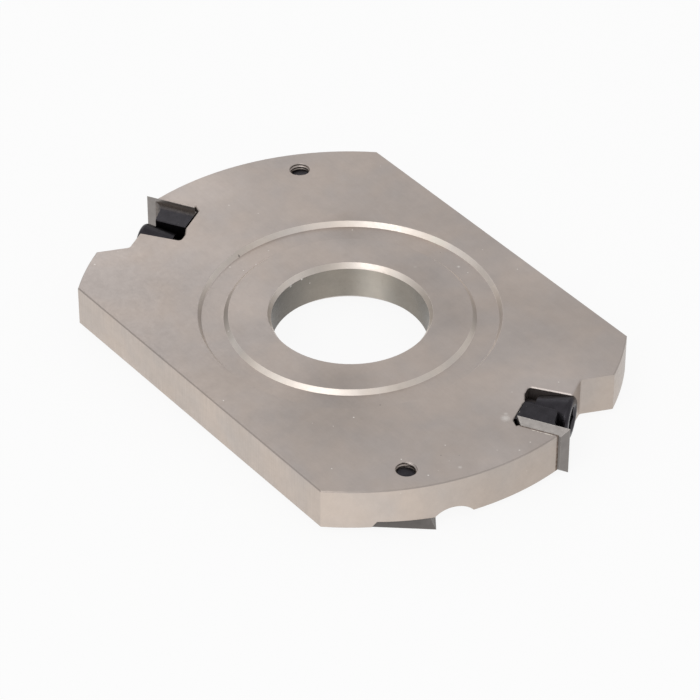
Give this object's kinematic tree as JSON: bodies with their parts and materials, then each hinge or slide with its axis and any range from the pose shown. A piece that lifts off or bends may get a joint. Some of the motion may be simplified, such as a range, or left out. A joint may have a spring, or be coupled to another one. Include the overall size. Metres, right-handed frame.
{
  "type": "grooving cutter head",
  "caption": "Flat steel disc cutter head with straight sides and a central bore, square carbide knives held by wedges and cone-headed screws, and spurs screwed under its rim.",
  "frame": {"origin": "on the bore's axis, halfway between the body's top and bottom faces", "axes": "+Z along the bore's axis to the face with the ring groove; +X parallel to the two straight sides, so +Y is square to them"},
  "size_m": [0.1232, 0.085, 0.0123],
  "materials": {
    "body_steel": "satin nickel over milled steel",
    "carbide": "ground tungsten carbide",
    "black_steel": "black oxide"
  },
  "bodies": {
    "root": {"body": "body_steel", "knife_1": "carbide", "knife_2": "carbide", "clamping_wedge_1": "black_steel", "clamping_wedge_2": "black_steel", "clamping_screw_1": "black_steel", "clamping_screw_2": "black_steel", "spur_1": "carbide", "spur_2": "carbide", "spur_screw_1": "black_steel", "spur_screw_2": "black_steel"}
  },
  "joints": []
}
